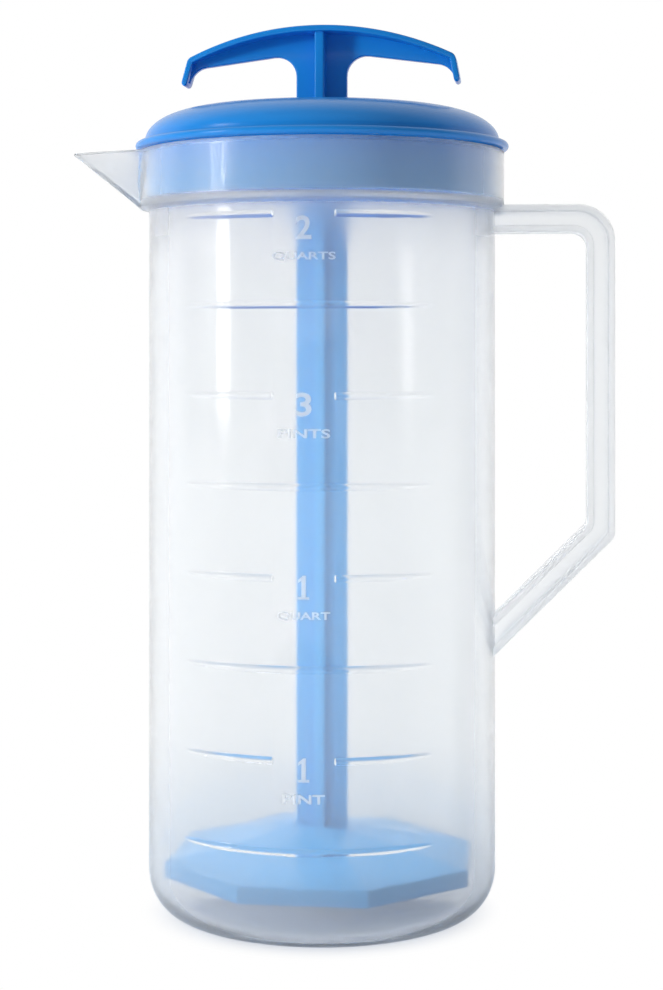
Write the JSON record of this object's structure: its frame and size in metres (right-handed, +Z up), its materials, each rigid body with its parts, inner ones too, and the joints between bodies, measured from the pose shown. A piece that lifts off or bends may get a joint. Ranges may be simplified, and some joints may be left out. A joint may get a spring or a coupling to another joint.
{
  "type": "baby formula mixing pitcher",
  "caption": "Translucent white pitcher with raised measuring lines, a V spout, an open side handle and a blue lid, through which a T-handled plunger with a mixing disc slides.",
  "frame": {"origin": "on the axis of the jug, in the flat face that it stands on", "axes": "+Z up along the jug's axis, +X towards the carrying handle, -X towards the spout, -Y towards the viewer, who sees the measuring lines"},
  "size_m": [0.1732, 0.1186, 0.2797],
  "materials": {
    "jug_plastic": "matte",
    "blue_plastic": "gloss"
  },
  "bodies": {
    "jug": {"jug_body": "jug_plastic", "pour_spout": "jug_plastic", "carry_handle": "jug_plastic"},
    "lid": {"lid": "blue_plastic"},
    "plunger": {"plunger_grip": "blue_plastic", "plunger_stem": "blue_plastic", "mixing_disc": "blue_plastic"}
  },
  "joints": [
    {"name": "lid_lift", "type": "slide", "parent": "jug", "child": "lid", "axis": [0, 0, 1], "range_m": [0, 0.25]},
    {"name": "plunger_slide", "type": "slide", "parent": "lid", "child": "plunger", "axis": [0, 0, 1], "range_m": [0, 0.216]}
  ]
}
